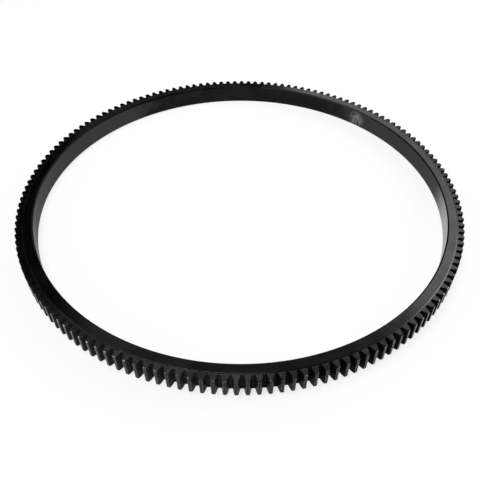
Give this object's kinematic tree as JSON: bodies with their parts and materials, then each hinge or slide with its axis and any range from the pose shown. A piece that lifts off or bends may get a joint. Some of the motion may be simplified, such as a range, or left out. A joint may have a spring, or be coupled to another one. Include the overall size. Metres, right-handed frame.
{
  "type": "flywheel ring gear",
  "caption": "Slim blackened steel ring with involute teeth all round its outside and a plain bevelled bore, shrunk onto an engine flywheel for the starter pinion to turn.",
  "frame": {"origin": "on the axis of the bore, in the plane of the flat back face that the gear lies on", "axes": "+Z along the axis of the bore, from the back face to the front face; +X through the middle of a tooth gap"},
  "size_m": [0.474, 0.474, 0.022],
  "materials": {
    "blackened_steel": "satin"
  },
  "bodies": {
    "root": {"ring_gear": "blackened_steel"}
  },
  "joints": []
}
